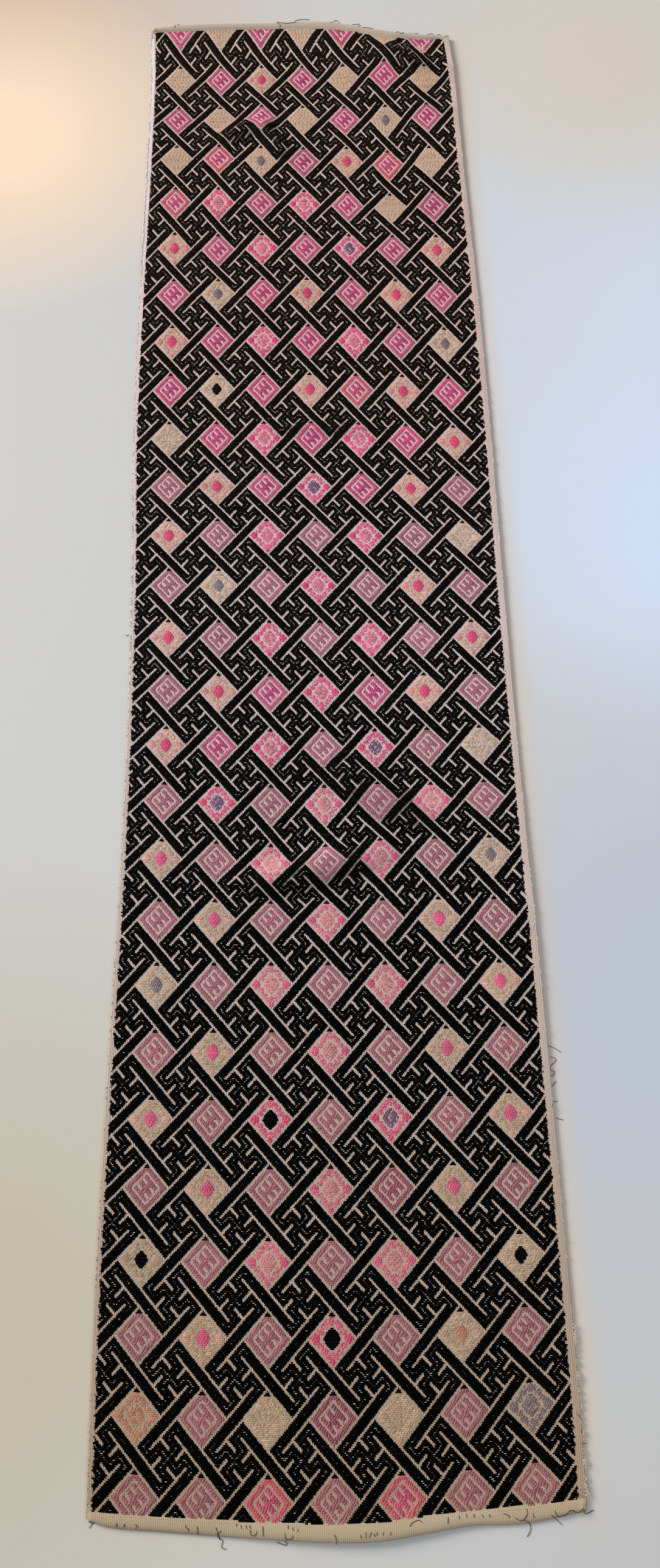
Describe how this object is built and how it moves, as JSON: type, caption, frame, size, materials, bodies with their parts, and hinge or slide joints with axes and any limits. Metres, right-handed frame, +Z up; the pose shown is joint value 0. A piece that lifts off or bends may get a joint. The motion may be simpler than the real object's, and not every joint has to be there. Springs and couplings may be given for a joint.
{
  "type": "brocade blanket panel",
  "caption": "Long narrow flat woven cloth panel with raised brocade pattern, plain side edges and hemmed ends, used as a blanket strip, throw or hanging.",
  "frame": {"origin": "centre of the panel's outline, on the surface it lies on", "axes": "+Y along the panel to its far end with the rolled hem, +X across it, +Z up through the cloth, patterned side up"},
  "size_m": [0.4306, 1.6448, 0.0109],
  "materials": {
    "ecru_cloth": "matte hand-woven cotton ground with fine ribs",
    "black_yarn": "soft raised pattern yarn with a low sheen",
    "purple_yarn": "soft raised pattern yarn, faded unevenly from rose to plum",
    "flower_yarn": "soft raised pattern yarns, from straw and peach to hot pink"
  },
  "bodies": {
    "root": {"blanket_panel": "ecru_cloth"}
  },
  "joints": []
}
